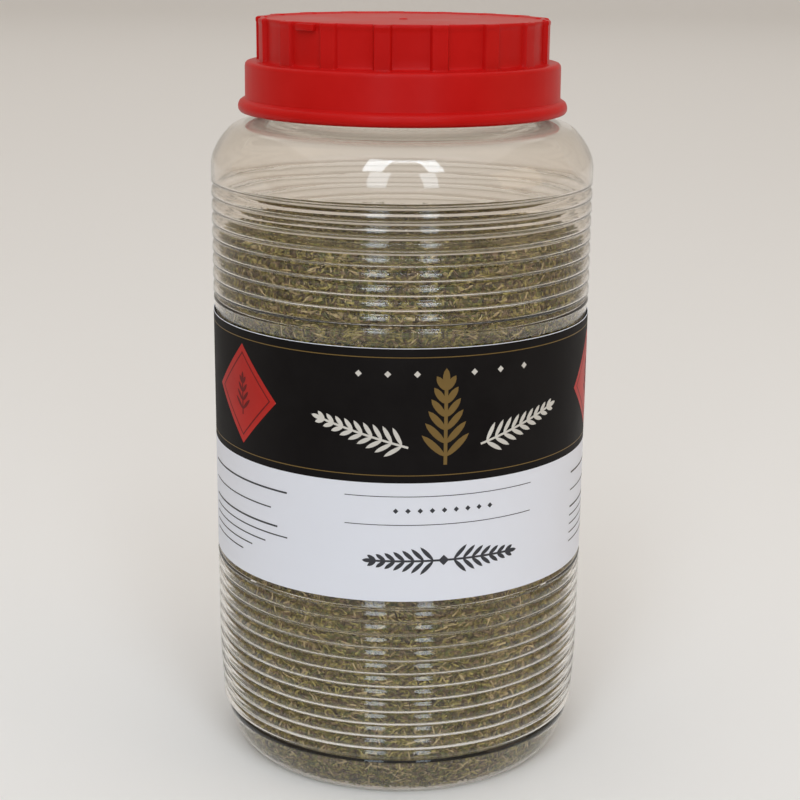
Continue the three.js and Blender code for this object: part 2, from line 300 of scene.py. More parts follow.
def two_colours(tree, shader, factor, first, second):
    """Mixes two colours by a factor into the shader's base colour."""
    mixed = node(tree, "ShaderNodeMix", {"Factor": factor, "A": (*first, 1), "B": (*second, 1)},
                 data_type="RGBA")
    tree.links.new(mixed.outputs["Result"], shader.inputs["Base Color"])
    return mixed


def clear_plastic(tint):
    """Clear moulded plastic, tinted beige as a painted reflection of a warm room. Lamps shine through it,
    and light caught inside the wall is let out.
    """
    material, tree, shader = new_material("clear_plastic", Base_Color=(*tint, 1), IOR=1.52,
                                          Transmission_Weight=1.0, Roughness=0.03)
    give_surface(tree, shader, 55.0, 0.015, 0.07, 0.05, 0.4 * MM, (1, 1, 0.4))
    through = node(tree, "ShaderNodeBsdfTransparent", {"Color": (0.94, 0.93, 0.91, 1)})
    path = node(tree, "ShaderNodeLightPath")
    trapped = node(tree, "ShaderNodeMath", {0: path.outputs["Ray Depth"], 1: 5.0}, operation="GREATER_THAN")
    passing = node(tree, "ShaderNodeMath", {0: path.outputs["Is Shadow Ray"], 1: trapped.outputs[0]},
                   operation="MAXIMUM")
    mixed = node(tree, "ShaderNodeMixShader", {0: passing.outputs[0], 1: shader.outputs["BSDF"],
                                               2: through.outputs["BSDF"]})
    tree.links.new(mixed.outputs[0], tree.nodes["Material Output"].inputs["Surface"])
    return material


def red_plastic(red):
    """Satin injection-moulded plastic with faint flow marks."""
    material, tree, shader = new_material("red_plastic", IOR=1.49, Specular_IOR_Level=0.12)
    surface = give_surface(tree, shader, 1400.0, 0.30, 0.40, 0.10, 0.05 * MM)
    worn = tuple(channel * 1.12 + 0.004 for channel in red)
    two_colours(tree, shader, surface.outputs["Mask"], red, worn)
    return material


def label_paper(settings):
    """Coated paper, dark above the band's height and pale below it, with a bare cut edge."""
    material, tree, shader = new_material("label_paper", Specular_IOR_Level=0.06)
    surface = give_surface(tree, shader, 2600.0, 0.48, 0.62, 0.12, 0.03 * MM)
    place = node(tree, "ShaderNodeTexCoord").outputs["Object"]
    z = node(tree, "ShaderNodeSeparateXYZ", {0: place}).outputs["Z"]
    above = node(tree, "ShaderNodeMath", {0: z, 1: settings.band}, operation="GREATER_THAN").outputs[0]
    below_edge = node(tree, "ShaderNodeMath", {0: z, 1: settings.top - 0.14 * MM}, operation="LESS_THAN")
    inked = node(tree, "ShaderNodeMath", {0: above, 1: below_edge.outputs[0]}, operation="MULTIPLY")
    mixed = two_colours(tree, shader, inked.outputs[0], settings.pale, settings.dark)
    rubbed = node(tree, "ShaderNodeMix", {"A": mixed.outputs["Result"], "B": (0.30, 0.29, 0.28, 1)},
                  data_type="RGBA")
    faint = node(tree, "ShaderNodeMath", {0: surface.outputs["Mask"], 1: 0.02}, operation="MULTIPLY")
    tree.links.new(faint.outputs[0], rubbed.inputs["Factor"])
    tree.links.new(rubbed.outputs["Result"], shader.inputs["Base Color"])
    return material


def ink(name, rgb, rough, metallic=0.0):
    """A printed ink or foil, slightly uneven."""
    material, tree, shader = new_material(name, Metallic=metallic, Specular_IOR_Level=0.12)
    surface = give_surface(tree, shader, 2400.0, rough - 0.06, rough + 0.06, 0.08, 0.02 * MM)
    two_colours(tree, shader, surface.outputs["Mask"], rgb, tuple(channel * 0.82 for channel in rgb))
    return material


def dried_leaf(name, pale, deep):
    """Dried leaf of one tone, mottled and matte."""
    material, tree, shader = new_material(name, Specular_IOR_Level=0.25)
    give_surface(tree, shader, 1900.0, 0.7, 0.92, 0.5, 0.12 * MM)
    place = node(tree, "ShaderNodeTexCoord").outputs["Object"]
    mottle = node(tree, "ShaderNodeTexNoise", {"Vector": place, "Scale": 900.0, "Detail": 3.0})
    spread = node(tree, "ShaderNodeMapRange", {"Value": mottle.outputs["Fac"], "From Min": 0.36,
                                               "From Max": 0.64})
    two_colours(tree, shader, spread.outputs[0], deep, pale)
    return material


def liner_board():
    """Pale pulp board with a foam face."""
    material, tree, shader = new_material("liner_board")
    surface = give_surface(tree, shader, 1500.0, 0.6, 0.8, 0.2, 0.05 * MM)
    two_colours(tree, shader, surface.outputs["Mask"], (0.84, 0.83, 0.79), (0.76, 0.74, 0.69))
    return material


# The jar's shape

def groove_bands(jar):
    """Top groove's height, pitch, count, width, depth, crown and deepening, for both ribbed bands."""
    return [(jar.lower_top / MM, jar.lower_pitch / MM, jar.lower_count, jar.lower_width / MM,
             jar.lower_depth / MM, jar.lower_crown / MM, jar.deepening),
            (jar.upper_top / MM, jar.upper_pitch / MM, jar.upper_count, jar.upper_width / MM,
             jar.upper_depth / MM, jar.upper_crown / MM, 0)]


def groove_cut(jar, z):
    """How far the grooves and the rounding of the lands set the wall back at a height."""
    for top, pitch, count, width, depth, crown, deepening in groove_bands(jar):
        turn = (top - z) / pitch
        if -0.5 <= turn <= count - 0.5:
            off = abs(turn - round(turn)) * pitch
            below = turn % 1
            if below < jar.crest or turn > count - 1:
                rise = max(0, 1 - below / jar.crest)
            else:
                rise = (below - jar.crest) / (1 - jar.crest)
            groove = 0.5 + 0.5 * math.cos(math.pi * min(1, 2 * off / width))
            return depth * (1 + deepening * turn / count) * groove + crown * rise ** 2
    return 0


def outer_radius(jar, z, share=1):
    """Outer radius of the ribbed wall at a height in millimetres, with this share of its grooves."""
    taper = 1.1 * (1 - between(z, 2, 30))
    return jar.radius / MM - taper - 0.55 * panel_share(jar, z) - share * groove_cut(jar, z)


def inner_radius(jar, z):
    """Inner radius of the ribbed wall, whose grooves are softer than those on the outside."""
    wall = jar.wall / MM
    offs = [wall * k / 8 for k in range(-8, 9)]
    return min(outer_radius(jar, z + off, jar.inside_share) - math.sqrt(wall * wall - off * off)
               for off in offs)


def panel_share(jar, z):
    """1 inside the recessed label panel, 0 outside it."""
    low = jar.lower_top / MM + jar.lower_pitch / MM * 0.5
    high = (jar.upper_top - (jar.upper_count - 1) * jar.upper_pitch) / MM - jar.upper_pitch / MM * 0.5
    return between(z, low - 0.5, low + 0.3) * (1 - between(z, high - 0.3, high + 0.5))


def wall_points(jar, radius, per_pitch):
    """(radius, height) up the ribbed wall, from a function of the jar and the height."""
    points = []
    for top, pitch, count, *_ in groove_bands(jar):
        start = top - (count - 0.5) * pitch
        points += [(radius(jar, start + k * pitch / per_pitch), start + k * pitch / per_pitch)
                   for k in range(count * per_pitch + 1)]
    return points


def inset(points, distance):
    """The points of an outline moved inwards by a distance, along the outline's normal."""
    moved = []
    for k, (radius, z) in enumerate(points):
        before, after = points[max(0, k - 1)], points[min(len(points) - 1, k + 1)]
        step = math.dist(before, after)
        moved.append((radius - distance * (after[1] - before[1]) / step,
                      z + distance * (after[0] - before[0]) / step))
    return moved


def jar_profile(jar):
    """Outline of the jar's wall, up the outside and down the inside. Millimetres."""
    neck = jar.neck_radius / MM
    neck_top = JAR_HIGH[2] / MM
    radius = jar.radius / MM
    heel = [(0, 4.0), (20, 4.0), (29, 3.4), (33.5, 1.6), (35.8, 0.35), (36.8, 0), (39.2, 0), (40.3, 0.35),
            (41.3, 1.2), (42.4, 2.9), (43.4, 5.3), (44.0, 7.6), (44.35, 9.2), (44.4, 9.7), (44.3, 10.0),
            (44.12, 10.25), (44.08, 10.5), (44.25, 10.75), (44.75, 11.1)]
    shoulder = [(radius, 145.4), (radius - 0.08, 147.2), (radius - 0.35, 148.6), (radius - 0.8, 149.8),
                (radius - 1.4, 151.0), (radius - 2.0, 152.0), (radius - 2.7, 152.95), (radius - 3.4, 153.8),
                (radius - 4.1, 154.6), (radius - 4.7, 155.2), (radius - 5.3, 155.65), (radius - 6.1, 156.1),
                (radius - 7.2, 156.5), (radius - 9.0, 157.0), (radius - 11.0, 157.45),
                (radius - 13.0, 157.85), (neck + 0.4, 158.4)]
    finish = [(neck, 159.4), (neck, 160.7), (neck + 3.1, 161.0), (neck + 3.4, 161.3), (neck + 3.4, 161.9),
              (neck + 3.1, 162.3), (neck, 162.7), (neck, neck_top - 0.5), (neck - 0.2, neck_top - 0.1),
              (neck - 0.5, neck_top)]
    mouth = [(neck - 1.1, neck_top), (neck - 1.3, neck_top - 0.3), (neck - 1.4, neck_top - 1),
             (neck - 1.4, 159.4)]
    floor = [(43.6, 10.2), (43.1, 7.4), (42.6, 5.3), (41.8, 3.3), (40.9, 1.75), (39.9, 0.85), (38.4, 0.55),
             (36.6, 0.6), (35.4, 1.0), (33.2, 2.4), (29.4, 4.2), (20, 4.9), (0, 4.9)]
    outside = heel + wall_points(jar, outer_radius, 16) + shoulder + finish
    inside = mouth + inset(shoulder, jar.wall / MM)[::-1] + wall_points(jar, inner_radius, 16)[::-1] + floor
    return outside + inside


class SPICEJAR_OT_jar(bpy.types.Operator):
    """Build the clear ribbed jar with its threaded neck"""
    bl_idname = "spicejar.jar"
    bl_label = "Jar"

    def execute(self, context):
        jar = context.scene.spice_jar_body
        bm = spun(jar_profile(jar), 120)
        add_screw_ridge(bm, jar.neck_radius / MM, *NECK_THREAD)
        finished(bm, "jar_wall", "jar", clear_plastic(tuple(jar.tint)), ["jar"], 60)
        return {"FINISHED"}


# The lid

# A grip bar's flat face ends and its side reaches the panel at these degrees from its middle.
BAR_FACE, BAR_FOOT = 2.9, 3.75
# Heights in millimetres: the bars start here, and the lid's rim starts this far below its top.
BAR_START, RIM_DROP = 170.85, 1.2
LID_BORE = 32.5
TAB_ANGLE = math.radians(-39.4)
TAB_SIZE = (5.3 * MM, 1.4 * MM, 1.5 * MM)
NUB_SIZE = (1.1 * MM, 1.1 * MM, 0.34 * MM)


def bar_height(angle, bars, phase):
    """1 on a grip bar and 0 on the panel between two, at an angle in radians from the front."""
    sector = math.tau / bars
    off = abs((angle - phase + sector / 2) % sector - sector / 2)
    return 1 - between(math.degrees(off), BAR_FACE, BAR_FOOT)


def gathered(angle, bars, phase):
    """Moves evenly spaced angles so that most of them lie at the edges of the grip bars."""
    sector = math.tau / bars
    turns, rest = divmod(angle - phase + sector / 2, sector)
    off = (rest - sector / 2) / (sector / 2)
    degrees = [0, 1.6, 2.8, 3.15, 3.35, 3.6, 4.1, 7.3, 360 / bars / 2]
    place = abs(off) * (len(degrees) - 1)
    k = min(int(place), len(degrees) - 2)
    moved = degrees[k] + (degrees[k + 1] - degrees[k]) * (place - k)
    return turns * sector + phase + math.copysign(math.radians(moved), off)


def lid_profile(lid):
    """Outline of the lid without its bars, from the axis inside to the axis on top."""
    rim, panel = lid.rim / MM, lid.panel / MM
    skirt, flange = lid.skirt / MM, lid.flange / MM
    top, bottom = LID_HIGH[2] / MM, LID_LOW[2] / MM
    inner, skirt_inner = LID_BORE, 36.2
    inside = [(0, top - 1.7), (inner - 0.8, top - 1.7), (inner - 0.2, top - 1.9), (inner, top - 2.4),
              (inner, 169.4), (inner + 0.2, 169.1), (skirt_inner - 0.4, 168.9), (skirt_inner, 168.5),
              (skirt_inner, 161.0), (flange - 2.7, bottom + 0.2), (flange - 2.4, bottom)]
    bead = [(flange - 0.9, bottom), (flange - 0.35, bottom + 0.2), (flange - 0.05, bottom + 0.7),
            (flange, bottom + 1.3), (flange - 0.08, bottom + 1.9), (flange - 0.4, bottom + 2.5),
            (flange - 0.9, bottom + 2.85), (skirt + 0.5, bottom + 3.0), (skirt + 0.15, bottom + 3.2),
            (skirt + 0.05, bottom + 3.7)]
    tier = [(skirt, 169.6), (skirt - 0.1, 170.2), (skirt - 0.45, 170.6), (skirt - 1.0, 170.75),
            (rim + 0.4, 170.75), (rim - 0.05, 170.8), (panel + 0.5, 171.0), (panel + 0.15, 171.3),
            (panel, 171.8)]
    rows = [(panel, z) for z in (173.5, 175.5, 177.5, 178.9)]
    crown = [(panel, top - 1.3), (rim, top - 0.95), (rim, top - 0.45), (rim - 0.12, top - 0.15),
             (rim - 0.4, top), (rim - 0.85, top), (rim - 1.1, top - 0.1), (rim - 1.35, top - 0.32),
             (rim - 1.7, top - 0.4), (28, top - 0.42), (14, top - 0.4), (0, top - 0.4)]
    return inside + bead + tier + rows + crown


def lid_mesh(lid):
    """The lid with its bars raised out of the grip tier's wall, and its rim set back between them."""
    bm = spun(lid_profile(lid), lid.bars * 16)
    top = LID_HIGH[2]
    bar_depth = lid.rim - 0.12 * MM - lid.panel
    for v in bm.verts:
        radius = v.co.xy.length
        if radius < 1e-6:
            continue
        angle = gathered(math.atan2(v.co.y, v.co.x) + lid.phase, lid.bars, lid.phase)
        if v.co.z > BAR_START * MM and radius > lid.rim - 1.8 * MM:
            height = bar_height(angle, lid.bars, lid.phase)
            if v.co.z > top - RIM_DROP * MM:
                radius -= bar_depth * (1 - height)
            else:
                radius = max(radius, lid.panel + bar_depth * height)
        v.co.x = radius * math.sin(angle)
        v.co.y = -radius * math.cos(angle)
    add_screw_ridge(bm, LID_BORE, *LID_THREAD)
    return bm


def add_box(bm, size, place, bevel):
    """Adds a small box with rounded edges to bm. place is a matrix, and size and bevel are metres."""
    matrix = place @ Matrix.Diagonal((*size, 1))
    made = bmesh.ops.create_cube(bm, size=1, matrix=matrix)
    edges = list({e for v in made["verts"] for e in v.link_edges})
    bmesh.ops.bevel(bm, geom=edges, offset=bevel, segments=2, affect="EDGES", profile=0.5, material=-1)


class SPICEJAR_OT_lid(bpy.types.Operator):
    """Build the red screw lid with its grip bars, tab, gate nub and thread"""
    bl_idname = "spicejar.lid"
    bl_label = "Lid"

    def execute(self, context):
        lid = context.scene.spice_jar_lid
        bm = lid_mesh(lid)
        tab = Matrix.Rotation(TAB_ANGLE, 4, "Z") @ Matrix.Translation(
            (0, -(lid.rim - 1.0 * MM), LID_HIGH[2] - 1.1 * MM))
        add_box(bm, TAB_SIZE, tab, 0.18 * MM)
        nub = Matrix.Translation((0, 0, LID_HIGH[2] - 0.4 * MM))
        bmesh.ops.create_uvsphere(bm, u_segments=20, v_segments=10, radius=1,
                                  matrix=nub @ Matrix.Diagonal((*NUB_SIZE, 1)))
        finished(bm, "lid_cap", "lid", red_plastic(tuple(lid.red)), ["lid"], 40)
        return {"FINISHED"}


class SPICEJAR_OT_liner(bpy.types.Operator):
    """Build the sealing disc inside the lid"""
    bl_idname = "spicejar.liner"
    bl_label = "Liner"

    def execute(self, context):
        low, high, radius = LINER_LOW[2] / MM, LINER_HIGH[2] / MM, LINER_HIGH[0] / MM
        profile = [(0, low), (28.6, low), (29.2, low + 0.06), (30.8, low + 0.06), (radius - 0.3, low),
                   (radius, low + 0.2), (radius, high - 0.2), (radius - 0.2, high), (0, high)]
        bm = spun(profile, 96)
        finished(bm, "liner_disc", "liner", liner_board(), ["liner"], 40)
        return {"FINISHED"}


# The label and its print

SEAM_OVERLAP = math.radians(10)


class SPICEJAR_OT_label(bpy.types.Operator):
    """Build the paper label, wrapped round with its ends overlapping at the back"""
    bl_idname = "spicejar.label"
    bl_label = "Label"

    def execute(self, context):
        label = context.scene.spice_jar_label
        inner = label.radius - label.thickness - 0.05 * MM
        bm = bmesh.new()
        rows = 13
        heights = [label.bottom + (label.top - label.bottom) * k / (rows - 1) for k in range(rows)]
        outline = [(inner, z) for z in heights] + [(inner + label.thickness, z) for z in heights[::-1]]
        verts = [bm.verts.new((0, radius, z)) for radius, z in outline]
        face = bm.faces.new(verts)
        steps = 148
        turn = math.tau + SEAM_OVERLAP
        bmesh.ops.spin(bm, geom=[face], cent=(0, 0, 0), axis=(0, 0, 1), angle=turn, steps=steps)
        for k, v in enumerate(bm.verts):
            angle = turn * (k // len(outline)) / steps
            lift = between(angle, math.tau - SEAM_OVERLAP, math.tau) * (label.thickness + 0.03 * MM)
            v.co.xy *= 1 + lift / v.co.xy.length
        bmesh.ops.recalc_face_normals(bm, faces=bm.faces)
        finished(bm, "label_wrap", "jar", label_paper(label), ["label"], 30)
        return {"FINISHED"}


def add_patch(bm, place, size, angle=0, cells=(6, 2), outline=None):
    """Adds a flat printed shape, in millimetres along the label and up it. outline narrows it."""
    made = bmesh.ops.create_grid(bm, x_segments=cells[0], y_segments=cells[1], size=0.5)
    turn = Matrix.Rotation(angle, 2)
    for v in made["verts"]:
        x, y = v.co.x, v.co.y
        if outline:
            y *= outline(2 * x)
        flat = turn @ Vector((x * size[0], y * size[1]))
        v.co = (place[0] + flat.x, 0, place[1] + flat.y)


def leaf_outline(x):
    """Half width of a narrow leaf along its length, from -1 at its foot to 1 at its tip."""
    return max(0.02, (1 - abs(x) ** 2.2) ** 0.8)


def add_sprig(bm, foot, angle, height, pairs, leaf):
    """Adds a sprig: a stem with paired narrow leaves that shorten towards the tip."""
    stem = Vector((math.cos(angle), math.sin(angle)))
    middle = Vector(foot) + stem * height / 2
    add_patch(bm, middle, (height, leaf * 0.11), angle, (10, 1))
    for k in range(pairs):
        share = (k + 0.6) / pairs
        at = Vector(foot) + stem * height * share
        size = leaf * (1.05 - 0.55 * share)
        for side in (-1, 1):
            lean = angle + side * math.radians(48 - 16 * share)
            tip = Vector((math.cos(lean), math.sin(lean))) * size / 2
            add_patch(bm, at + tip, (size, leaf * 0.21), lean, (6, 2), leaf_outline)
    add_patch(bm, Vector(foot) + stem * (height + leaf * 0.22), (leaf * 0.6, leaf * 0.22), angle,
              (6, 2), leaf_outline)


def add_diamond(bm, place, size, cells=14):
    """Adds a square stood on its corner."""
    add_patch(bm, place, (size, size), math.radians(45), (cells, cells))


def wrapped(bm, radius, turn):
    """Wraps flat printed shapes round the label at a radius in metres, turned from the front."""
    for v in bm.verts:
        angle = turn + v.co.x * MM / radius
        v.co = (radius * math.sin(angle), -radius * math.cos(angle), v.co.z * MM)
    return bm


# Millimetres up from the foot, and along the label from the middle of its print.
BAND_MIDDLE = 96.0
BADGE_PLACES = (-53.0, 53.0)
# Each fine line of print at the sides of the pale band, as its height and its length.
FINE_LINES = [(75, 34), (70.5, 29), (66.2, 31), (64, 34), (61.8, 27), (59.6, 22), (57.4, 18)]


def gold_print():
    """Gold ink: an upright sprig, and a fine line along each edge of the dark band."""
    bm = bmesh.new()
    add_sprig(bm, (0, 84.4), math.radians(90), 18.5, 6, 7.6)
    for z in (109.4, 82.0):
        add_patch(bm, (0, z), (286, 0.2), 0, (200, 1))
    return bm


def cream_print():
    """Cream ink: a long leafy sprig to each side of the gold one, and a row of small diamonds."""
    bm = bmesh.new()
    for side in (-1, 1):
        add_sprig(bm, (side * 8.5, 88.6), math.radians(90 - side * 74), 21, 9, 4.8)
    for k in (-3, -2, -1, 1, 2, 3):
        add_diamond(bm, (k * 6.6, 105.6), 1.1, 2)
    return bm


def badge_print():
    """Plain red badges on the dark band."""
    bm = bmesh.new()
    for place in BADGE_PLACES:
        add_diamond(bm, (place, BAND_MIDDLE), 17)
    return bm


def badge_inlay():
    """The darker frame and small sprig on each badge."""
    bm = bmesh.new()
    for place in BADGE_PLACES:
        for k in range(4):
            lean = math.radians(45 + 90 * k)
            out = Vector((math.cos(lean), math.sin(lean))) * 7.0
            middle = Vector((place, BAND_MIDDLE)) + out
            add_patch(bm, middle, (14.3, 0.35), lean + math.radians(90), (10, 1))
        add_sprig(bm, (place, BAND_MIDDLE - 5.0), math.radians(90), 8.2, 4, 4.2)
    return bm


def grey_print():
    """Dark ink on the pale band: rules, a garland of leaves and small blocks of fine lines."""
    bm = bmesh.new()
    for z in (77.0, 70.2):
        add_patch(bm, (0, z), (46, 0.18), 0, (40, 1))
    for k in range(9):
        add_diamond(bm, ((k - 4) * 2.8, 73.6), 0.9, 2)
    for side in (-1, 1):
        add_sprig(bm, (side * 1.0, 61.5), math.radians(90 - side * 90), 15.5, 7, 4.6)
    add_diamond(bm, (0, 61.5), 1.8, 3)
    for row, (z, width) in enumerate(FINE_LINES):
        height = 0.45 if row in (0, 2) else 0.32
        add_patch(bm, (width / 2 - 72, z), (width, height), 0, (30, 1))
        add_patch(bm, (41 + width / 2, z), (width, height), 0, (30, 1))
    return bm


class SPICEJAR_OT_print(bpy.types.Operator):
    """Print the label with a plain sprig, badges, rules and a garland"""
    bl_idname = "spicejar.print"
    bl_label = "Label print"

    def execute(self, context):
        label = context.scene.spice_jar_label
        inks = [
            ("print_gold", gold_print(), ink("gold_ink", tuple(label.gold), 0.42, 0.35), 1),
            ("print_cream", cream_print(), ink("cream_ink", (0.70, 0.69, 0.65), 0.5), 1),
            ("print_badges", badge_print(), ink("badge_ink", tuple(label.badge), 0.4), 1),
            ("print_badge_inlay", badge_inlay(), ink("inlay_ink", (0.16, 0.010, 0.010), 0.45), 2),
            ("print_grey", grey_print(), ink("grey_ink", (0.055, 0.058, 0.068), 0.5), 1),
        ]
        for name, bm, material, layer in inks:
            radius = label.radius + (0.02 * layer - 0.05) * MM
            finished(wrapped(bm, radius, label.turn), name, "jar", material)
        return {"FINISHED"}


# The dried rosemary

# The paler and the deeper colour of each tone, and its share of all the fragments.
TONES = {
    "olive": ((0.340, 0.292, 0.092), (0.116, 0.095, 0.026), 0.27),
    "green": ((0.200, 0.212, 0.070), (0.060, 0.068, 0.020), 0.18),
    "brown": ((0.290, 0.205, 0.118), (0.092, 0.062, 0.033), 0.23),
    "dark": ((0.078, 0.054, 0.025), (0.026, 0.018, 0.008), 0.13),
    "yellow": ((0.520, 0.450, 0.155), (0.250, 0.210, 0.060), 0.13),
    "straw": ((0.640, 0.530, 0.300), (0.380, 0.285, 0.140), 0.06),
}
# The inside of the jar's heel, as (radius, height) in millimetres, from the foot up to the wall.
HEEL_BED = [(36.8, 0.85), (38.3, 0.8), (39.7, 1.05), (40.7, 1.9), (41.6, 3.4), (42.4, 5.4), (42.9, 7.5),
            (43.3, 10.4)]


def bed_radius(jar, z):
    """Free radius for the fill inside the grooves of the wall, at a height in millimetres."""
    return (jar.radius - jar.wall - jar.upper_depth - jar.upper_crown) / MM - 1.1 * (1 - between(z, 2, 30))


def bed_paths(jar, level):
    """What shows of the fill's side, a little past the label's edges, as (radius, height)."""
    low, high = LABEL_LOW[2] / MM + 3, LABEL_HIGH[2] / MM - 6
    below = HEEL_BED + [(bed_radius(jar, z), z) for z in (13, 16, 20, 25, 30, low)]
    return below, [(bed_radius(jar, z), z) for z in (high, level - 0.4)]


def path_length(path):
    """Length of a path in the units of its points."""
    return sum(math.dist(a, b) for a, b in zip(path, path[1:]))


def along(path, distance):
    """The point of a path at a distance from its start, and the path's lean from upright there."""
    for a, b in zip(path, path[1:]):
        step = math.dist(a, b)
        if distance <= step:
            break
        distance -= step
    share = min(1, distance / step)
    lean = math.atan2(b[0] - a[0], b[1] - a[1])
    return a[0] + (b[0] - a[0]) * share, a[1] + (b[1] - a[1]) * share, lean


def surface_height(x, y, level):
    """Height of the fill's uneven top in millimetres, a little higher on one side."""
    uneven = 1.3 * noise.noise(Vector((x * 0.055, y * 0.055, 3.1)))
    return level + uneven + 0.9 * (1 - (x * x + y * y) / 44 ** 2) - 0.016 * x


def fragment_mesh(name, length_mm, width_mm, bend_mm, tip):
    """One broken needle: a slender three-sided bar, tapered and flattened, and bent if it is long."""
    bm = bmesh.new()
    bmesh.ops.create_cone(bm, cap_ends=True, segments=3, radius1=width_mm * MM / 2,
                          radius2=width_mm * MM / 2 * tip, depth=length_mm * MM)
    if bend_mm:
        bmesh.ops.bisect_plane(bm, geom=bm.verts[:] + bm.edges[:] + bm.faces[:], plane_co=(0, 0, 0),
                               plane_no=(0, 0, 1))
    for v in bm.verts:
        if abs(v.co.z) < length_mm * MM * 0.1:
            v.co.x *= 1.15
            v.co.y += bend_mm * MM
        v.co.y *= 0.62
    bmesh.ops.recalc_face_normals(bm, faces=bm.faces)
    mesh = bpy.data.meshes.new(name)
    bm.to_mesh(mesh)
    bm.free()
    return mesh


def fragment_bank(draw):
    """Fragments of different length and width: short ones, and long slender ones with a bend."""
    short = [fragment_mesh(f"short_{k}", 0.8 + 1.9 * draw.random() ** 1.4, draw.uniform(0.36, 0.72), 0,
                           draw.uniform(0.35, 0.95)) for k in range(16)]
    long = [fragment_mesh(f"long_{k}", 1.9 + 1.9 * draw.random(), draw.uniform(0.32, 0.52),
                          draw.uniform(-0.35, 0.35), draw.uniform(0.4, 0.9)) for k in range(8)]
    return short, long


def wall_place(paths, draw):
    """A place against the jar's wall, lying any way in the wall's plane."""
    lengths = [path_length(path) for path in paths]
    distance = draw.random() * sum(lengths)
    if distance < lengths[0]:
        radius, z, lean = along(paths[0], distance)
    else:
        radius, z, lean = along(paths[1], distance - lengths[0])
    depth = 0.25 + 1.0 * draw.random() ** 1.3
    radius -= depth * math.cos(lean)
    z += depth * math.sin(lean)
    flat = (Matrix.Rotation(draw.gauss(math.pi / 2, 0.8), 4, "Y")
            @ Matrix.Rotation(draw.gauss(0, 0.16), 4, "X")
            @ Matrix.Rotation(draw.choice((0, math.pi)), 4, "Z"))
    around = Matrix.Rotation(draw.uniform(0, math.tau), 4, "Z")
    return around @ Matrix.Translation((0, radius * MM, z * MM)) @ Matrix.Rotation(-lean, 4, "X") @ flat


def top_place(jar, draw, level):
    """A place on the fill's top, lying nearly flat or poking up a little."""
    radius = (bed_radius(jar, level) - 1.2) * math.sqrt(draw.random())
    angle = draw.uniform(0, math.tau)
    x, y = radius * math.cos(angle), radius * math.sin(angle)
    z = surface_height(x, y, level) - 1.3 * draw.random() ** 1.2
    turn = Matrix.Rotation(draw.uniform(0, math.tau), 4, "Z")
    lying = Matrix.Rotation(math.pi / 2 + draw.gauss(0, 0.22), 4, "X")
    return (Matrix.Translation((x * MM, y * MM, z * MM)) @ turn @ lying
            @ Matrix.Rotation(draw.uniform(-0.6, 0.6), 4, "Z"))


def scattered(places, bank, draw):
    """One bmesh of fragments from the bank, one at each place."""
    bm = bmesh.new()
    for place in places:
        fragment = draw.choice(bank)
        fragment.transform(place)
        bm.from_mesh(fragment)
        fragment.transform(place.inverted())
    return bm


def packed_leaf():
    """The fill's inside: small cells of leaf in every tone, which show between the loose fragments."""
    material, tree, shader = new_material("leaf_packed", Specular_IOR_Level=0.15, Roughness=0.9)
    place = node(tree, "ShaderNodeTexCoord").outputs["Object"]
    warp = node(tree, "ShaderNodeTexNoise", {"Vector": place, "Scale": 420.0, "Detail": 2.0})
    moved = node(tree, "ShaderNodeVectorMath", {0: warp.outputs["Color"], 1: (0.0022, 0.0022, 0.0012)},
                 operation="MULTIPLY").outputs[0]
    bent = node(tree, "ShaderNodeVectorMath", {0: place, 1: moved}).outputs[0]
    cells = node(tree, "ShaderNodeTexVoronoi", {"Vector": bent, "Scale": 1150.0})
    tone = node(tree, "ShaderNodeSeparateColor", {0: cells.outputs["Color"]}).outputs[0]
    ramp = node(tree, "ShaderNodeValToRGB", {"Fac": tone})
    ramp.color_ramp.interpolation = "CONSTANT"
    while len(ramp.color_ramp.elements) < len(TONES):
        ramp.color_ramp.elements.new(1.0)
    reached = 0.0
    for (pale, deep, share), stop in zip(TONES.values(), ramp.color_ramp.elements):
        stop.position = reached
        stop.color = (*[(a + 2 * b) / 3 for a, b in zip(pale, deep)], 1)
        reached += share
    bump = node(tree, "ShaderNodeBump", {"Height": cells.outputs["Distance"], "Strength": 0.9,
                                         "Distance": 0.5 * MM}, invert=True)
    tree.links.new(ramp.outputs["Color"], shader.inputs["Base Color"])
    tree.links.new(bump.outputs["Normal"], shader.inputs["Normal"])
    return material


def heart_mesh(jar, level, depth):
    """The solid inside of the fill, this deep behind the loose fragments and a little uneven."""
    rows = HEEL_BED + [(bed_radius(jar, z), z) for z in (13, 16, 20, 25, 30, 40)]
    rows += [(bed_radius(jar, 50), 50 + 4 * k) for k in range(int((level - 52) / 4))]
    outline = [(0, 6.0), (29.4, 5.4), (33.4, 3.8)]
    outline += [(radius - depth, z + depth * (1 - between(z, 2, 11))) for radius, z in rows]
    outline += [(bed_radius(jar, 50) - depth, level - 2.6), (40, level - 1.5)]
    outline += [(40 - 5 * k, level - 1.3) for k in range(1, 8)] + [(0, level - 1.3)]
    bm = spun(outline, 96)
    for v in bm.verts:
        if v.co.z > (level - 2) * MM:
            v.co.z += (surface_height(v.co.x / MM, v.co.y / MM, level) - level) * MM
        elif v.co.z > 8 * MM:
            v.co.xy *= 1 + 0.008 * noise.noise(v.co * 260)
    return bm


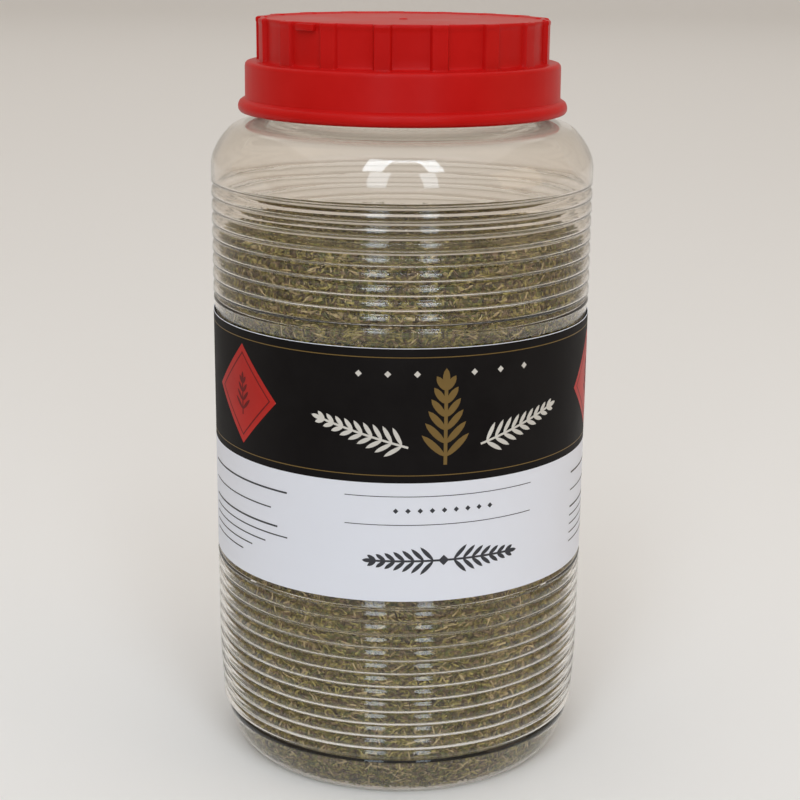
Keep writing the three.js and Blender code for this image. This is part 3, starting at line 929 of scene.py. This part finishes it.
class SPICEJAR_OT_rosemary(bpy.types.Operator):
    """Build the dried rosemary: a packed heart under layers of loose fragments in six tones"""
    bl_idname = "spicejar.rosemary"
    bl_label = "Dried rosemary"

    def execute(self, context):
        jar = context.scene.spice_jar_body
        fill = context.scene.spice_jar_rosemary
        draw = random.Random(fill.seed)
        level = fill.level / MM
        heart = heart_mesh(jar, level, 0.95)
        finished(heart, "rosemary_heart", "jar", packed_leaf(), ["rosemary_fill"])
        paths = bed_paths(jar, level)
        short, long = fragment_bank(draw)
        for tone, (pale, deep, share) in TONES.items():
            count = int(fill.pieces * share)
            on_top = int(count * 0.24)
            places = [top_place(jar, draw, level) for _ in range(on_top)]
            places += [wall_place(paths, draw) for _ in range(count - on_top)]
            bank = long if tone == "straw" else short + long[:1]
            bm = scattered(places, bank, draw)
            leaf = dried_leaf(f"leaf_{tone}", pale, deep)
            finished(bm, f"rosemary_{tone}", "jar", leaf)
        for fragment in short + long:
            bpy.data.meshes.remove(fragment)
        return {"FINISHED"}


# Floor, lights and camera

def add_light(name, place, target, size, power, tint=(1, 1, 1)):
    """A soft rectangular lamp aimed at a point."""
    data = bpy.data.lights.new(name, "AREA")
    data.shape = "RECTANGLE"
    data.size, data.size_y = size
    data.energy = power
    data.color = tint
    lamp = bpy.data.objects.new(name, data)
    lamp.location = place
    lamp.rotation_euler = (Vector(target) - Vector(place)).to_track_quat("-Z", "Y").to_euler()
    bpy.context.scene.collection.objects.link(lamp)


def add_camera(stage):
    """The camera, looking down at the jar from the front."""
    data = bpy.data.cameras.new("camera")
    data.lens = stage.lens
    data.sensor_width = 36
    data.clip_start = 0.01
    camera = bpy.data.objects.new("camera", data)
    camera.matrix_world = (Matrix.Translation((0, -stage.distance, stage.height))
                           @ Matrix.Rotation(math.pi / 2 - stage.pitch, 4, "X")
                           @ Matrix.Rotation(stage.roll, 4, "Z"))
    bpy.context.scene.collection.objects.link(camera)
    bpy.context.scene.camera = camera


def add_floor():
    """A pale floor that curves up behind into a backdrop, and is browner in front of the jar."""
    bm = bmesh.new()
    bend, back, front, half = 1.4, 4.2, -8.0, 9.0
    outline = [(front, 0)]
    outline += [(back + bend * math.sin(a), bend - bend * math.cos(a)) for a in
                (math.radians(7.5 * k) for k in range(13))]
    outline.append((back + bend, 4.0))
    verts = [bm.verts.new((-half, y, z)) for y, z in outline]
    edges = [bm.edges.new(pair) for pair in zip(verts, verts[1:])]
    swept = bmesh.ops.extrude_edge_only(bm, edges=edges)
    moved = [v for v in swept["geom"] if isinstance(v, bmesh.types.BMVert)]
    bmesh.ops.translate(bm, vec=(2 * half, 0, 0), verts=moved)
    bmesh.ops.recalc_face_normals(bm, faces=bm.faces)
    mesh = bpy.data.meshes.new("floor")
    bm.to_mesh(mesh)
    bm.free()
    mesh.shade_smooth()
    material, tree, shader = new_material("floor_paint", Roughness=0.85)
    place = node(tree, "ShaderNodeTexCoord").outputs["Object"]
    y = node(tree, "ShaderNodeSeparateXYZ", {0: place}).outputs["Y"]
    front_share = node(tree, "ShaderNodeMapRange", {"Value": y, "From Min": -0.07, "From Max": -0.32})
    two_colours(tree, shader, front_share.outputs[0], (0.86, 0.85, 0.83), (0.44, 0.33, 0.22))
    mesh.materials.append(material)
    floor = bpy.data.objects.new("floor", mesh)
    bpy.context.scene.collection.objects.link(floor)


def room_world():
    """A soft pale room that is browner to the left and right. The camera sees it plain."""
    world = bpy.data.worlds.new("room")
    world.use_nodes = True
    tree = world.node_tree
    room = tree.nodes["Background"]
    aim = node(tree, "ShaderNodeTexCoord").outputs["Generated"]
    x = node(tree, "ShaderNodeSeparateXYZ", {0: aim}).outputs["X"]
    side = node(tree, "ShaderNodeMath", {0: x}, operation="ABSOLUTE").outputs[0]
    share = node(tree, "ShaderNodeMapRange", {"Value": side, "From Min": 0.3, "From Max": 0.95})
    walls = node(tree, "ShaderNodeMix", {"Factor": share.outputs[0], "A": (1.0, 0.96, 0.92, 1),
                                         "B": (0.74, 0.58, 0.42, 1)}, data_type="RGBA")
    tree.links.new(walls.outputs["Result"], room.inputs["Color"])
    room.inputs["Strength"].default_value = 0.57
    pale = node(tree, "ShaderNodeBackground", {"Color": (0.92, 0.91, 0.89, 1), "Strength": 0.85})
    seen = node(tree, "ShaderNodeLightPath").outputs["Is Camera Ray"]
    shown = node(tree, "ShaderNodeMixShader", {0: seen, 1: room.outputs[0], 2: pale.outputs[0]})
    tree.links.new(shown.outputs[0], tree.nodes["World Output"].inputs["Surface"])
    return world


class SPICEJAR_OT_stage(bpy.types.Operator):
    """Set the floor, the soft lights and the camera"""
    bl_idname = "spicejar.stage"
    bl_label = "Stage"

    def execute(self, context):
        scene = context.scene
        add_camera(scene.spice_jar_stage)
        add_floor()
        middle = (0, 0, 0.09)
        cool = (0.80, 0.90, 1.0)
        add_light("sky_left", (-0.250, -0.66, 1.10), middle, (0.22, 0.46), 1.85, cool)
        add_light("sky_right", (0.290, -0.66, 1.10), middle, (0.175, 0.46), 1.45, cool)
        add_light("sky_head", (0.02, -0.55, 1.22), middle, (0.30, 0.07), 0.4, cool)
        add_light("window_left", (-0.288, -1.12, 0.62), middle, (0.245, 0.85), 1.9, cool)
        add_light("window_right", (0.335, -1.12, 0.62), middle, (0.195, 0.85), 1.5, cool)
        add_light("side_right", (1.2, -0.35, 0.45), middle, (0.7, 0.8), 1.1, (1.0, 0.78, 0.55))
        add_light("above", (0, 1.2, 2.8), (0, 1.2, 0), (4.5, 4.5), 27)
        scene.world = room_world()
        scene.view_settings.view_transform = "Standard"
        return {"FINISHED"}


class SPICEJAR_PT_panel(bpy.types.Panel):
    """Lists the jar's pieces and their settings"""
    bl_idname = "SPICEJAR_PT_panel"
    bl_label = "Spice jar"
    bl_space_type = "VIEW_3D"
    bl_region_type = "UI"
    bl_category = "Spice jar"

    def draw(self, context):
        for operator in OPERATORS:
            self.layout.operator(operator.bl_idname)
        for settings, name in SETTINGS:
            box = self.layout.box()
            box.label(text=settings.__doc__)
            group = getattr(context.scene, name)
            for key in settings.__annotations__:
                box.prop(group, key)


OPERATORS = [
    SPICEJAR_OT_stage,
    SPICEJAR_OT_jar,
    SPICEJAR_OT_rosemary,
    SPICEJAR_OT_label,
    SPICEJAR_OT_print,
    SPICEJAR_OT_liner,
    SPICEJAR_OT_lid,
]


def register():
    for settings, name in SETTINGS:
        bpy.utils.register_class(settings)
        setattr(bpy.types.Scene, name, PointerProperty(type=settings))
    for operator in OPERATORS:
        bpy.utils.register_class(operator)
    bpy.utils.register_class(SPICEJAR_PT_panel)


def unregister():
    bpy.utils.unregister_class(SPICEJAR_PT_panel)
    for operator in reversed(OPERATORS):
        bpy.utils.unregister_class(operator)
    for settings, name in reversed(SETTINGS):
        delattr(bpy.types.Scene, name)
        bpy.utils.unregister_class(settings)


def main():
    """Builds every piece in order."""
    register()
    for operator in OPERATORS:
        group, name = operator.bl_idname.split(".")
        getattr(getattr(bpy.ops, group), name)()
    bpy.context.view_layer.update()


if __name__ == "__main__":
    main()
